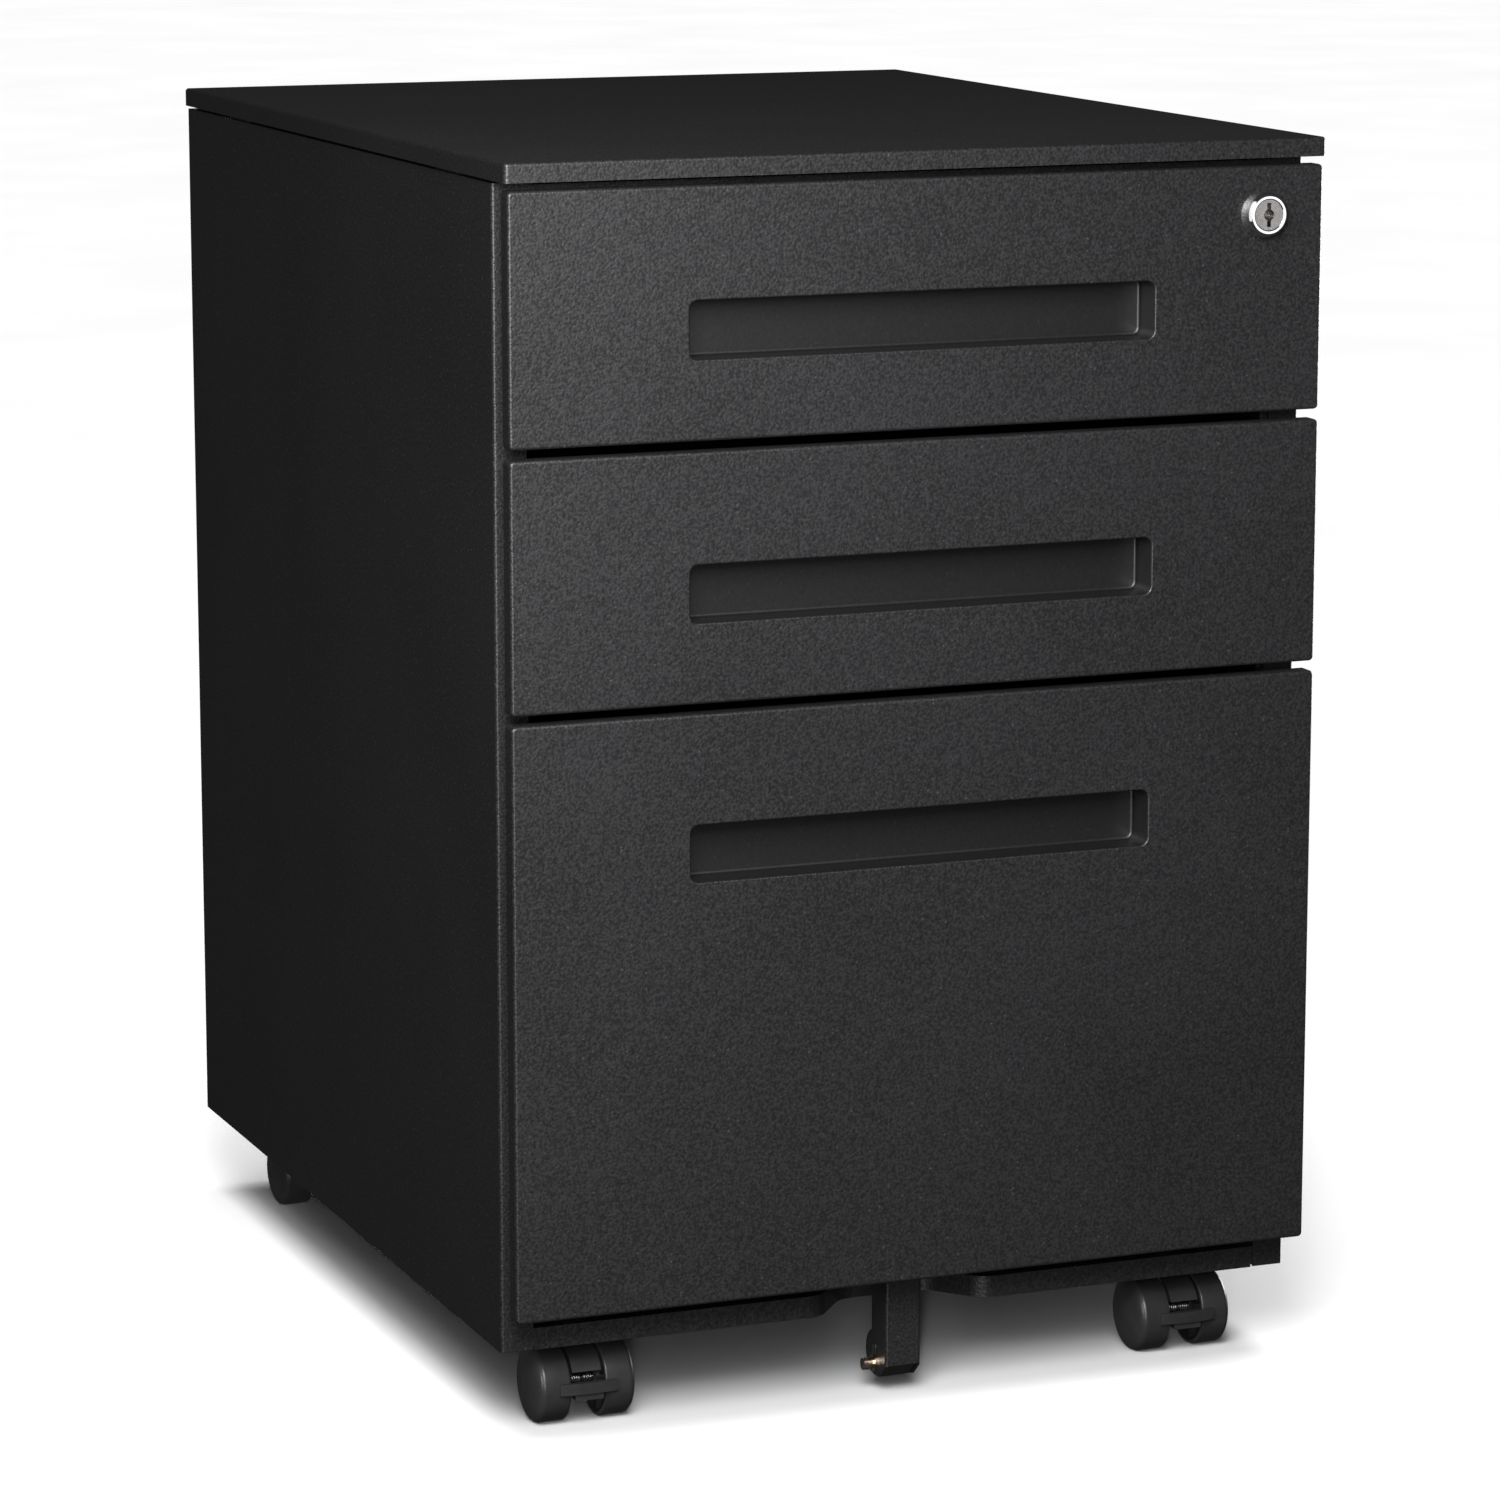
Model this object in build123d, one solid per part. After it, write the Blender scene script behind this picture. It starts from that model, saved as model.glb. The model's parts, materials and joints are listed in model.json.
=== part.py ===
from build123d import *
import os
from math import cos, radians

# A three-drawer steel pedestal cabinet on four swivel casters, in millimetres.
# X is to the right, Y to the back, Z up. The origin is on the floor, under the middle of the cabinet.
# A place "behind the faces" is measured back from the plane of the drawer faces, FACE_Y.

os.makedirs("parts", exist_ok=True)

# Overall size
HEIGHT = 597.0
TOP_WIDTH = 408.0
TOP_DEPTH = 512.0
LOCK_PROTRUSION = 7.2
FACE_Y = LOCK_PROTRUSION - (TOP_DEPTH + LOCK_PROTRUSION) / 2
BACK_Y = FACE_Y + TOP_DEPTH

# Sheet steel
SHEET = 1.0
SLIDE_SHEET = 1.2
LEG_SHEET = 1.5
BEND = 1.5
CORNER = 2.2
JOINT_GAP = 0.1

# Top panel, a shallow pan that stands on two stiffeners
TOP_EDGE = 9.0
TOP_Z = HEIGHT - TOP_EDGE
STIFFENER_WIDTH = 30.0
STIFFENER_INSET = 90.0
STIFFENER_END_GAP = 1.6

# Carcass
BODY_HALF = 202.6
BODY_TOP = 586.4
BODY_BOTTOM = 44.0
CARCASS_Y = FACE_Y + 21.7
BODY_BACK_Y = BACK_Y - 1.7
RETURN_WIDTH = 15.8
FLANGE = 15.0
OPENING_HALF = BODY_HALF - RETURN_WIDTH
RETURN_BACK_Y = CARCASS_Y + SHEET
CROSS_RAIL_INSET = 2.6
CROSS_RAIL_WIDTH = 22.0
FRONT_RAIL_DROP = 10.3
BACK_RAIL_DROP = 28.3

# Base plate, with a front rail that steps back in the middle to clear the anti-tip leg
BASE_TOP = 54.0
RAIL_BOTTOM = 43.5
RAIL_Y = CARCASS_Y + 0.8
RAIL_SEAM = 0.8
POCKET_BACK_HALF = 22.0
POCKET_MOUTH_HALF = 41.6
POCKET_DEPTH = 24.2
POCKET_BEND = 12.8

# Drawers, from the top down: heights of the faces, boxes and slide centres
FACE_HEIGHTS = [(468.7, 584.35), (347.8, 463.9), (63.2, 343.2)]
BOX_HEIGHTS = [(477.0, 547.0), (356.0, 430.0), (72.0, 317.0)]
SLIDE_HEIGHTS = [502.0, 381.0, 127.0]
FACE_HALF = 202.5
FACE_FLANGE = 8.5
INNER_PANEL_HALF = 186.0
INNER_PANEL_MARGIN = 5.0
INNER_PANEL_DEPTH = 19.2
BOX_HALF = 174.0
BOX_LENGTH = 445.0
BOX_RIM = 5.0
BOX_FRONT_Y = FACE_Y + INNER_PANEL_DEPTH + JOINT_GAP
HANGING_BAR_X = (158.0, 160.0)
HANGING_BAR_HEIGHT = 14.0

# Pull recess
PULL_WIDTH = 232.0
PULL_HEIGHT = 27.0
PULL_RADIUS = 4.0
PULL_DROP = 51.7
PULL_DEPTH = 17.0
PULL_LIP = 8.0
PULL_BEND = 1.4
PULL_EDGE = 0.8

# Ball-bearing slides: cabinet member, middle member and drawer member, nested in each other
SLIDE_FRONT_Y = CARCASS_Y + 2.7
SLIDE_LENGTH = 450.0
MOVING_LENGTH = 440.0
CABINET_MEMBER = dict(web=187.0, lips=177.5, height=45.0)
MIDDLE_MEMBER = dict(web=184.2, lips=175.6, height=38.0)
DRAWER_MEMBER = dict(web=174.0, lips=182.0, height=32.0)
POST_WIDTH = 30.0
POST_SETBACKS = (8.7, 420.0)
POST_BOTTOM = BASE_TOP + 1.0
POST_TOP = 583.0

# Lock: key plug in the top drawer's face, turning a cam that lifts a locking bar
LOCK_X = 171.0
LOCK_Z = 562.0
BEZEL_RADIUS = 11.15
BEZEL_FRONT_RADIUS = 9.05
BARREL_RADIUS = 9.0
PLUG_RADIUS = 7.2
PLUG_RECESS = 0.3
TAIL_RADIUS = 3.0
BEZEL_RIM = 0.6
BARREL_LENGTH = INNER_PANEL_DEPTH + 0.8
NUT_RADIUS = 13.0
NUT_THICKNESS = 3.0
KEYWAY_DEPTH = 12.0
KEYWAY_HALF_WIDTH = 1.0
KEYWAY_HALF_HEIGHT = 5.6
KEYWAY_ROUND = 2.7
RUNNING_CLEARANCE = 0.05
CAM_ARM = 7.0
CAM_START_ANGLE = 45.0
CAM_ROOT_RADIUS = 6.0
CAM_TIP_RADIUS = 3.5
CAM_PIN_RADIUS = 2.0
SLOT_CLEARANCE = 0.35
SLOT_END_CLEARANCE = 0.6
CAM_FRONT_Y = FACE_Y + 20.2
CAM_THICKNESS = 1.5
CAM_PIN_END_Y = FACE_Y + 26.8
LOCK_BAR_X = (188.5, 199.5)
LOCK_BAR_Y = (CARCASS_Y + 2.3, CARCASS_Y + 4.3)
LOCK_BAR_Z = (67.0, 573.0)
DRIVER_X = 170.0
DRIVER_HALF = 7.0
HOOK_X = 178.0
HOOK_RISE = (24.5, 31.5)
CATCH_RISE = (33.0, 41.0)
CATCH_X = 185.0
CATCH_Y = LOCK_BAR_Y[1] + 1.9
GUIDE_HEIGHTS = (237.0, 442.0)
GUIDE_HEIGHT = 15.0
GUIDE_GAP = 0.3
GUIDE_STRAP = 0.9

# Anti-tip leg under the file drawer, with a small roller just clear of the floor
LEG_FRONT_Y = FACE_Y + 20.3
LEG_HALF = 9.0
LEG_FLANGE = 17.2
LEG_BEND = 1.4
LEG_BEND_Z = 15.6
LEG_BOTTOM_Z = 8.3
LEG_EAR_RADIUS = 11.3
LEG_EAR_Y = LEG_FRONT_Y + 13.2
LEG_EAR_Z = 19.0
LEG_INSIDE_BACK_Y = LEG_EAR_Y + LEG_EAR_RADIUS + 1.0
TONGUE_KNEE = (LEG_FRONT_Y + 5.6, 10.4)
TONGUE_END_Y = LEG_FRONT_Y + 8.0
TONGUE_INSIDE_RISE = 0.8
TONGUE_NOTCH = 1.4
ROLLER_Y = LEG_FRONT_Y + 14.0
ROLLER_Z = 13.7
ROLLER_RADIUS = 7.0
ROLLER_HALF = 5.75
ROLLER_EDGE = 1.0
LEG_AXLE_RADIUS = 2.9
LEG_SLOT_TOP = 21.0
AXLE_STUB = 6.2
AXLE_TAIL = 2.5
COLLAR_RADIUS = 4.4
COLLAR_WIDTH = 1.2
LEG_PLATE_HALF = 20.0
LEG_PLATE_LENGTH = 55.0
LEG_SCREW_X = 14.0
LEG_SCREW_SETBACKS = (10.0, 47.0)

# Casters: the wheel centre trails the stem, and only the front pair has brakes
CASTER_X = 156.0
CASTER_TRAIL = 15.0
CASTER_AXLE_YS = {"front": FACE_Y + 49.5, "rear": FACE_Y + 459.0}
WHEEL_RADIUS = 18.4
WHEEL_INNER_X = 8.75
WHEEL_OUTER_X = 26.2
TREAD_END_X = 21.2
WHEEL_DISC = 6.0
WHEEL_EDGE = 0.8
HUB_RADIUS = 4.6
HOLLOW_RADIUS = 14.6
HOLLOW_DEPTH = 9.0
RIB_COUNT = 6
RIB_THICKNESS = 1.2
RIB_SETBACK = 1.5
RIB_ROOT = 0.5
RIB_END = 1.0
DOME_SHOULDER = [(TREAD_END_X + 2.3, WHEEL_RADIUS - 1.4), (TREAD_END_X + 3.5, WHEEL_RADIUS - 4.6)]
HOOD_HALF = 7.2
HOOD_RADIUS = 17.6
HOOD_WALL = 1.6
HOOD_FLOOR = WHEEL_RADIUS - 5.0
HOOD_MOUTH = WHEEL_RADIUS + 8.0
HOOD_TOP = 47.0
AXLE_BOSS_RADIUS = 6.0
SOCKET_DROP = 1.0
CHAMBER_BACK = 6.0
MOUTH_BACK = 9.0
STEM_RADIUS = 4.0
STEM_BOTTOM = 24.0
STEM_TOP = 65.0
STEM_END_GAP = 0.5
CASTER_AXLE_RADIUS = 2.5
AXLE_INSET = 4.0
BORE_INSET = 3.4
HUB_DRAFT = 0.8
RIM_DRAFT = 2.0
HEX_FLATS = 13.0
HEX_GAP = 0.4
NUT_HEIGHT = 6.5

# Brake levers, reaching forwards from the wheel axle
LEVER_HALF = 5.2
LEVER_BOSS_RADIUS = 4.8
LEVER_SIDE_GAP = 0.3
LEVER_PLATE_Z = (WHEEL_RADIUS - 3.2, WHEEL_RADIUS - 0.8)
PLATE_BACK = 11.0
PLATE_FRONT = 19.8
TOE_BACK = 14.0
TOE_Z = (WHEEL_RADIUS - 4.8, WHEEL_RADIUS - 2.0)
PEDAL_HALF = 14.5
PEDAL_FRONT = 21.2
PEDAL_DEPTH = 3.2
PEDAL_BOW = 70.0
PEDAL_Z = (WHEEL_RADIUS - 1.5, WHEEL_RADIUS + 3.9)
PEDAL_GAP = 0.5

# Fasteners
SCREW_RADIUS = 1.9
SCREW_HEAD_RADIUS = 3.5
SCREW_HEAD = 1.6
SCREW_REACH = 6.0
SLIDE_SCREW_HEAD = 1.1
SLIDE_SCREW_REACH = 6.0


def block(x, y, z):
    """Box between (low, high) pairs on the three axes."""
    spans = (x, y, z)
    sizes = [high - low for low, high in spans]
    middle = [(low + high) / 2 for low, high in spans]
    return Pos(*middle) * Box(*sizes)


def rod_x(radius, x, y, z):
    """Cylinder along X between the pair x."""
    return Pos((x[0] + x[1]) / 2, y, z) * Rot(0, 90, 0) * Cylinder(radius, x[1] - x[0])


def rod_y(radius, x, y, z):
    """Cylinder along Y between the pair y."""
    return Pos(x, (y[0] + y[1]) / 2, z) * Rot(90, 0, 0) * Cylinder(radius, y[1] - y[0])


def rod_z(radius, x, y, z):
    """Cylinder along Z between the pair z."""
    return Pos(x, y, (z[0] + z[1]) / 2) * Cylinder(radius, z[1] - z[0])


def mirrored(shape):
    """The same shape on the other side of the cabinet."""
    return mirror(shape, Plane.YZ)


def both(shape):
    """A shape and its mirror image."""
    return [shape, mirrored(shape)]


def pair(low, length):
    return (low, low + length)


def span(half):
    return (-half, half)


def save(node, *shapes):
    """Writes the solids of these shapes as one node."""
    solids = [solid for shape in shapes for solid in shape.solids()]
    export_step(Compound(solids), f"parts/{node}.step")


def rounded_front(shape, corner, bend):
    """Rounds the four corners along Y, then the rim of the face that looks forwards."""
    shape = fillet(shape.edges().filter_by(Axis.Y), corner)
    return fillet(shape.faces().sort_by(Axis.Y)[0].edges(), bend)


def pull_prism(grow, y, z):
    """Rounded rectangle of the pull recess, grown on every side, between the pair y."""
    outline = RectangleRounded(PULL_WIDTH + 2 * grow, PULL_HEIGHT + 2 * grow, PULL_RADIUS + grow)
    length = y[1] - y[0]
    return Pos(0, (y[0] + y[1]) / 2, z) * Rot(90, 0, 0) * extrude(outline, length / 2, both=True)


# Top panel and its stiffeners

def top_panel():
    pan = block(span(TOP_WIDTH / 2), (FACE_Y, BACK_Y), (TOP_Z, HEIGHT))
    pan = fillet(pan.edges().filter_by(Axis.Z), CORNER)
    pan = fillet(pan.faces().sort_by(Axis.Z)[-1].edges(), BEND)
    hollow = block(span(TOP_WIDTH / 2 - SHEET), (FACE_Y + SHEET, BACK_Y - SHEET), (TOP_Z, HEIGHT - SHEET))
    return pan - hollow


STIFFENER_YS = (FACE_Y + STIFFENER_INSET, BACK_Y - STIFFENER_INSET)
TOP_SCREW_X = BODY_HALF - FLANGE / 2


def top_stiffeners():
    channels = []
    for y in STIFFENER_YS:
        side = (y - STIFFENER_WIDTH / 2, y + STIFFENER_WIDTH / 2)
        inside = (side[0] + SHEET, side[1] - SHEET)
        half = BODY_HALF - STIFFENER_END_GAP
        channel = block(span(half), side, (BODY_TOP, HEIGHT - SHEET))
        channel -= block(span(half), inside, (BODY_TOP + SHEET, HEIGHT - SHEET))
        for x in span(TOP_SCREW_X):
            channel -= rod_z(SCREW_RADIUS, x, y, (BODY_TOP, BODY_TOP + SHEET))
        channels.append(channel)
    return channels


# Carcass panels

BACK_SCREW_X = BODY_HALF - FLANGE / 2
BACK_SCREW_ZS = (97.0, 317.0, 537.0)
BACK_PANEL_Y = (BODY_BACK_Y - SHEET - JOINT_GAP - SHEET, BODY_BACK_Y - SHEET - JOINT_GAP)


def right_side_panel():
    """One folded sheet: skin, front return, back flange, and top and bottom flanges."""
    depth = (CARCASS_Y, BODY_BACK_Y)
    height = (BODY_BOTTOM, BODY_TOP)
    flange_x = (BODY_HALF - FLANGE, BODY_HALF)
    panel = block((BODY_HALF - SHEET, BODY_HALF), depth, height)
    panel += block((OPENING_HALF, BODY_HALF), (CARCASS_Y, RETURN_BACK_Y), height)
    panel += block(flange_x, (BODY_BACK_Y - SHEET, BODY_BACK_Y), height)
    panel += block(flange_x, depth, (BODY_TOP - SHEET, BODY_TOP))
    panel += block(flange_x, depth, (BODY_BOTTOM, BODY_BOTTOM + SHEET))
    outer_front = panel.edges().filter_by(Axis.Z).filter_by(
        lambda edge: edge.center().X > BODY_HALF - 0.01 and edge.center().Y < CARCASS_Y + 0.01)
    panel = fillet(outer_front, BEND)
    for y in STIFFENER_YS:
        panel -= rod_z(SCREW_RADIUS, TOP_SCREW_X, y, (BODY_TOP - SHEET, BODY_TOP))
    for z in BACK_SCREW_ZS:
        panel -= rod_y(SCREW_RADIUS, BACK_SCREW_X, (BODY_BACK_Y - SHEET, BODY_BACK_Y), z)
    return panel


def back_panel():
    half = BODY_HALF - SHEET - JOINT_GAP
    height = (BODY_BOTTOM + SHEET + JOINT_GAP, BODY_TOP - SHEET - JOINT_GAP)
    panel = block(span(half), BACK_PANEL_Y, height)
    for x in span(BACK_SCREW_X):
        for z in BACK_SCREW_ZS:
            panel -= rod_y(SCREW_RADIUS, x, BACK_PANEL_Y, z)
    return panel


def base_outline():
    """Plan of the base plate: its front edge steps back in two rounded slopes beside the leg."""
    back = BACK_PANEL_Y[0] - JOINT_GAP
    wide = BODY_HALF - SHEET - JOINT_GAP
    narrow = OPENING_HALF - RAIL_SEAM
    shoulder = RETURN_BACK_Y + JOINT_GAP
    pocket_back = RAIL_Y + POCKET_DEPTH
    half = [
        FilletPolyline((0, pocket_back), (POCKET_BACK_HALF, pocket_back), (POCKET_MOUTH_HALF, RAIL_Y),
                       (narrow, RAIL_Y), radius=POCKET_BEND),
        Polyline((narrow, RAIL_Y), (narrow, shoulder), (wide, shoulder), (wide, back), (0, back)),
    ]
    return make_face(half + [mirrored(edge) for edge in half])


def base_plate():
    outline = base_outline()
    rim = outline - offset(outline, -SHEET)
    plate = Pos(0, 0, BASE_TOP - SHEET) * extrude(outline, SHEET)
    plate += Pos(0, 0, RAIL_BOTTOM) * extrude(rim, BASE_TOP - RAIL_BOTTOM - SHEET)
    over_flanges = (RAIL_BOTTOM, BODY_BOTTOM + SHEET + JOINT_GAP)
    plate -= block(span(BODY_HALF), (RETURN_BACK_Y, BODY_BACK_Y), over_flanges) - block(
        span(POCKET_MOUTH_HALF + POCKET_BEND), (RETURN_BACK_Y, RAIL_Y + POCKET_DEPTH + SHEET), over_flanges)
    for x in span(CASTER_X):
        for axle_y in CASTER_AXLE_YS.values():
            plate -= rod_z(STEM_RADIUS, x, axle_y + CASTER_TRAIL, (BASE_TOP - SHEET, BASE_TOP))
    return plate


def cross_rails():
    """Angles across the top of the carcass, at the front and at the back."""
    top = BODY_TOP - SHEET - JOINT_GAP
    front_y = RETURN_BACK_Y + JOINT_GAP
    back_y = BACK_PANEL_Y[0] - JOINT_GAP
    reach = BODY_HALF - CROSS_RAIL_INSET
    front = block(span(reach), pair(front_y, CROSS_RAIL_WIDTH), (top - SHEET, top))
    front += block(span(OPENING_HALF), pair(front_y, SHEET), (top - FRONT_RAIL_DROP, top))
    back = block(span(reach), (back_y - CROSS_RAIL_WIDTH, back_y), (top - SHEET, top))
    back += block(span(OPENING_HALF), (back_y - SHEET, back_y), (top - BACK_RAIL_DROP, top))
    return [front, back]


# Slides

def member(web, lips, height, front, length, z):
    """Channel of one slide: a vertical web and two lips that reach from it towards x = lips."""
    inward = lips < web
    web_x = (web - SLIDE_SHEET, web) if inward else (web, web + SLIDE_SHEET)
    lip_x = (lips, web) if inward else (web, lips)
    side = pair(front, length)
    channel = block(web_x, side, (z - height / 2, z + height / 2))
    for low in (z - height / 2, z + height / 2 - SLIDE_SHEET):
        channel += block(lip_x, side, pair(low, SLIDE_SHEET))
    return channel


def slide_posts():
    """Channels up the inside of each side panel, which carry the slides."""
    posts = []
    for setback in POST_SETBACKS:
        front = CARCASS_Y + setback
        outside = pair(front, POST_WIDTH)
        inside = (outside[0] + SLIDE_SHEET, outside[1] - SLIDE_SHEET)
        web = CABINET_MEMBER["web"]
        wall = BODY_HALF - SHEET - JOINT_GAP
        post = block((web, wall), outside, (POST_BOTTOM, POST_TOP))
        post -= block((web + SLIDE_SHEET, wall), inside, (POST_BOTTOM, POST_TOP))
        for z in SLIDE_HEIGHTS:
            post -= rod_x(SCREW_RADIUS, pair(web, SLIDE_SHEET), front + POST_WIDTH / 2, z)
        posts += both(post)
    return posts


def cabinet_slide_members():
    members = []
    for z in SLIDE_HEIGHTS:
        channel = member(**CABINET_MEMBER, front=SLIDE_FRONT_Y, length=SLIDE_LENGTH, z=z)
        for setback in POST_SETBACKS:
            y = CARCASS_Y + setback + POST_WIDTH / 2
            web = CABINET_MEMBER["web"]
            channel -= rod_x(SCREW_RADIUS, (web - SLIDE_SHEET, web), y, z)
        members += both(channel)
    return members


def slide_screws():
    screws = []
    web = CABINET_MEMBER["web"]
    for z in SLIDE_HEIGHTS:
        for setback in POST_SETBACKS:
            y = CARCASS_Y + setback + POST_WIDTH / 2
            seat = web - SLIDE_SHEET
            screw = rod_x(SCREW_RADIUS, (seat, web + SLIDE_SCREW_REACH), y, z)
            screw += rod_x(SCREW_HEAD_RADIUS, (seat - SLIDE_SCREW_HEAD, seat), y, z)
            screws += both(screw)
    return screws


# Drawers

def drawer_front(number):
    """Pan with short flanges all round, the pull opening, and in the top drawer the lock hole."""
    z0, z1 = FACE_HEIGHTS[number]
    pan = block(span(FACE_HALF), pair(FACE_Y, FACE_FLANGE), (z0, z1))
    pan = rounded_front(pan, CORNER, BEND)
    pan -= block(span(FACE_HALF - SHEET), (FACE_Y + SHEET, FACE_Y + FACE_FLANGE), (z0 + SHEET, z1 - SHEET))
    pull_z = z1 - PULL_DROP - PULL_HEIGHT / 2
    pan -= pull_prism(0, pair(FACE_Y, SHEET), pull_z)
    opening = pan.edges().filter_by(
        lambda edge: abs(edge.center().Y - FACE_Y) < 0.01 and abs(edge.center().X) < PULL_WIDTH / 2 + 0.1
        and abs(edge.center().Z - pull_z) < PULL_HEIGHT / 2 + 0.1)
    pan = fillet(opening, PULL_EDGE)
    if number == 0:
        pan -= rod_y(BARREL_RADIUS, LOCK_X, pair(FACE_Y, SHEET), LOCK_Z)
    return pan


def pull_cup(number):
    """Pressed cup behind the pull opening, with a lip that is welded to the back of the face."""
    pull_z = FACE_HEIGHTS[number][1] - PULL_DROP - PULL_HEIGHT / 2
    front = FACE_Y + SHEET
    cup = pull_prism(SHEET, (front, FACE_Y + PULL_DEPTH + SHEET), pull_z)
    cup += pull_prism(PULL_LIP, pair(front, SHEET), pull_z)
    hollow = pull_prism(0, (front - SHEET, FACE_Y + PULL_DEPTH), pull_z)
    hollow = fillet(hollow.faces().sort_by(Axis.Y)[-1].edges(), PULL_BEND)
    return cup - hollow


def inner_panel(number):
    """Second skin of the drawer's front: narrower pan that stands the face off the carcass."""
    z0, z1 = FACE_HEIGHTS[number]
    low, high = z0 + INNER_PANEL_MARGIN, z1 - INNER_PANEL_MARGIN
    back = FACE_Y + INNER_PANEL_DEPTH
    front = FACE_Y + SHEET
    pan = block(span(INNER_PANEL_HALF), (front, back), (low, high))
    pan -= block(span(INNER_PANEL_HALF - SHEET), (front, back - SHEET), (low + SHEET, high - SHEET))
    if number == 0:
        pan -= rod_y(BARREL_RADIUS, LOCK_X, (back - SHEET, back), LOCK_Z)
    return pan


def leg_screw_places():
    """(x, y) of the screws that hold the leg's top plate to the file drawer."""
    return [(x, LEG_FRONT_Y + y) for x in span(LEG_SCREW_X) for y in LEG_SCREW_SETBACKS]


def drawer_box(number):
    """Folded tray with a turned-in rim, and on its right side the catch that the lock bar holds."""
    z0, z1 = BOX_HEIGHTS[number]
    y0, y1 = pair(BOX_FRONT_Y, BOX_LENGTH)
    box = block(span(BOX_HALF), (y0, y1), (z0, z1))
    box -= block(span(BOX_HALF - SHEET), (y0 + SHEET, y1 - SHEET), (z0 + SHEET, z1 - SHEET))
    box -= block(span(BOX_HALF - BOX_RIM), (y0 + BOX_RIM, y1 - BOX_RIM), (z1 - SHEET, z1))
    catch_z = SLIDE_HEIGHTS[number]
    catch_height = (catch_z + CATCH_RISE[0], catch_z + CATCH_RISE[1])
    box += block((BOX_HALF - SHEET, CATCH_X), pair(CATCH_Y, SHEET), catch_height)
    if number == 2:
        for x, y in leg_screw_places():
            box -= rod_z(SCREW_RADIUS, x, y, (z0, z0 + SHEET))
    return box


def drawer_slide_members(number):
    z = SLIDE_HEIGHTS[number]
    return both(member(**DRAWER_MEMBER, front=SLIDE_FRONT_Y, length=MOVING_LENGTH, z=z))


def middle_slide_members(number):
    z = SLIDE_HEIGHTS[number]
    return both(member(**MIDDLE_MEMBER, front=SLIDE_FRONT_Y + SHEET, length=MOVING_LENGTH, z=z))


def hanging_file_bars():
    """Two flat rails from the front to the back of the file drawer, for hanging folders."""
    inside = (BOX_FRONT_Y + SHEET, BOX_FRONT_Y + BOX_LENGTH - SHEET)
    top = BOX_HEIGHTS[2][1] - SHEET
    return both(block(HANGING_BAR_X, inside, (top - HANGING_BAR_HEIGHT, top)))


# Lock

def hexagon(flats, radius, x, y, z):
    """Hexagonal ring about an upright axis between the pair z."""
    ring = extrude(RegularPolygon(flats / 2 / cos(radians(30)), 6), z[1] - z[0])
    return Pos(x, y, z[0]) * ring - rod_z(radius, x, y, z)


def lock_housing():
    """Tapered bezel in front of the face and a threaded barrel behind it, bored for the plug."""
    front = FACE_Y - LOCK_PROTRUSION
    cone = Cone(BEZEL_RADIUS, BEZEL_FRONT_RADIUS, LOCK_PROTRUSION)
    bezel = Pos(LOCK_X, FACE_Y - LOCK_PROTRUSION / 2, LOCK_Z) * Rot(90, 0, 0) * cone
    bezel = fillet(bezel.edges().sort_by(Axis.Y)[0], BEZEL_RIM)
    housing = bezel + rod_y(BARREL_RADIUS, LOCK_X, pair(FACE_Y, BARREL_LENGTH), LOCK_Z)
    bore = rod_y(PLUG_RADIUS + RUNNING_CLEARANCE, LOCK_X, (front, CAM_FRONT_Y), LOCK_Z)
    return housing - bore


def lock_nut():
    seat = FACE_Y + SHEET
    nut = Pos(LOCK_X, seat, LOCK_Z) * Rot(-90, 0, 0) * extrude(RegularPolygon(NUT_RADIUS, 6), NUT_THICKNESS)
    return nut - rod_y(BARREL_RADIUS, LOCK_X, pair(seat, NUT_THICKNESS), LOCK_Z)


def lock_plug():
    """Round key plug with an upright keyway; its tail carries the cam."""
    front = FACE_Y - LOCK_PROTRUSION + PLUG_RECESS
    depth = pair(front, KEYWAY_DEPTH)
    keyway_x = (LOCK_X - KEYWAY_HALF_WIDTH, LOCK_X + KEYWAY_HALF_WIDTH)
    plug = rod_y(PLUG_RADIUS, LOCK_X, (front, CAM_FRONT_Y), LOCK_Z)
    plug -= block(keyway_x, depth, (LOCK_Z - KEYWAY_HALF_HEIGHT, LOCK_Z + KEYWAY_HALF_HEIGHT))
    plug -= rod_y(KEYWAY_ROUND, LOCK_X, depth, LOCK_Z)
    return plug + rod_y(TAIL_RADIUS, LOCK_X, pair(CAM_FRONT_Y, CAM_THICKNESS), LOCK_Z)


def cam_pin_place():
    """Where the cam pin stands at rest, low and to the right of the plug's axis."""
    reach = CAM_ARM * cos(radians(CAM_START_ANGLE))
    return LOCK_X + reach, LOCK_Z - reach


def lock_cam():
    """Flat arm on the plug's tail with a pin that lifts the locking bar."""
    pin_x, pin_z = cam_pin_place()
    plate_y = pair(CAM_FRONT_Y, CAM_THICKNESS)
    arm = rod_y(CAM_ROOT_RADIUS, LOCK_X, plate_y, LOCK_Z) + rod_y(CAM_TIP_RADIUS, pin_x, plate_y, pin_z)
    middle = Pos((LOCK_X + pin_x) / 2, (plate_y[0] + plate_y[1]) / 2, (LOCK_Z + pin_z) / 2)
    arm += middle * Rot(0, CAM_START_ANGLE, 0) * Box(CAM_ARM, CAM_THICKNESS, 2 * CAM_TIP_RADIUS)
    arm += rod_y(CAM_PIN_RADIUS, pin_x, (plate_y[1], CAM_PIN_END_Y), pin_z)
    return arm - rod_y(TAIL_RADIUS, LOCK_X, plate_y, LOCK_Z)


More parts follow.
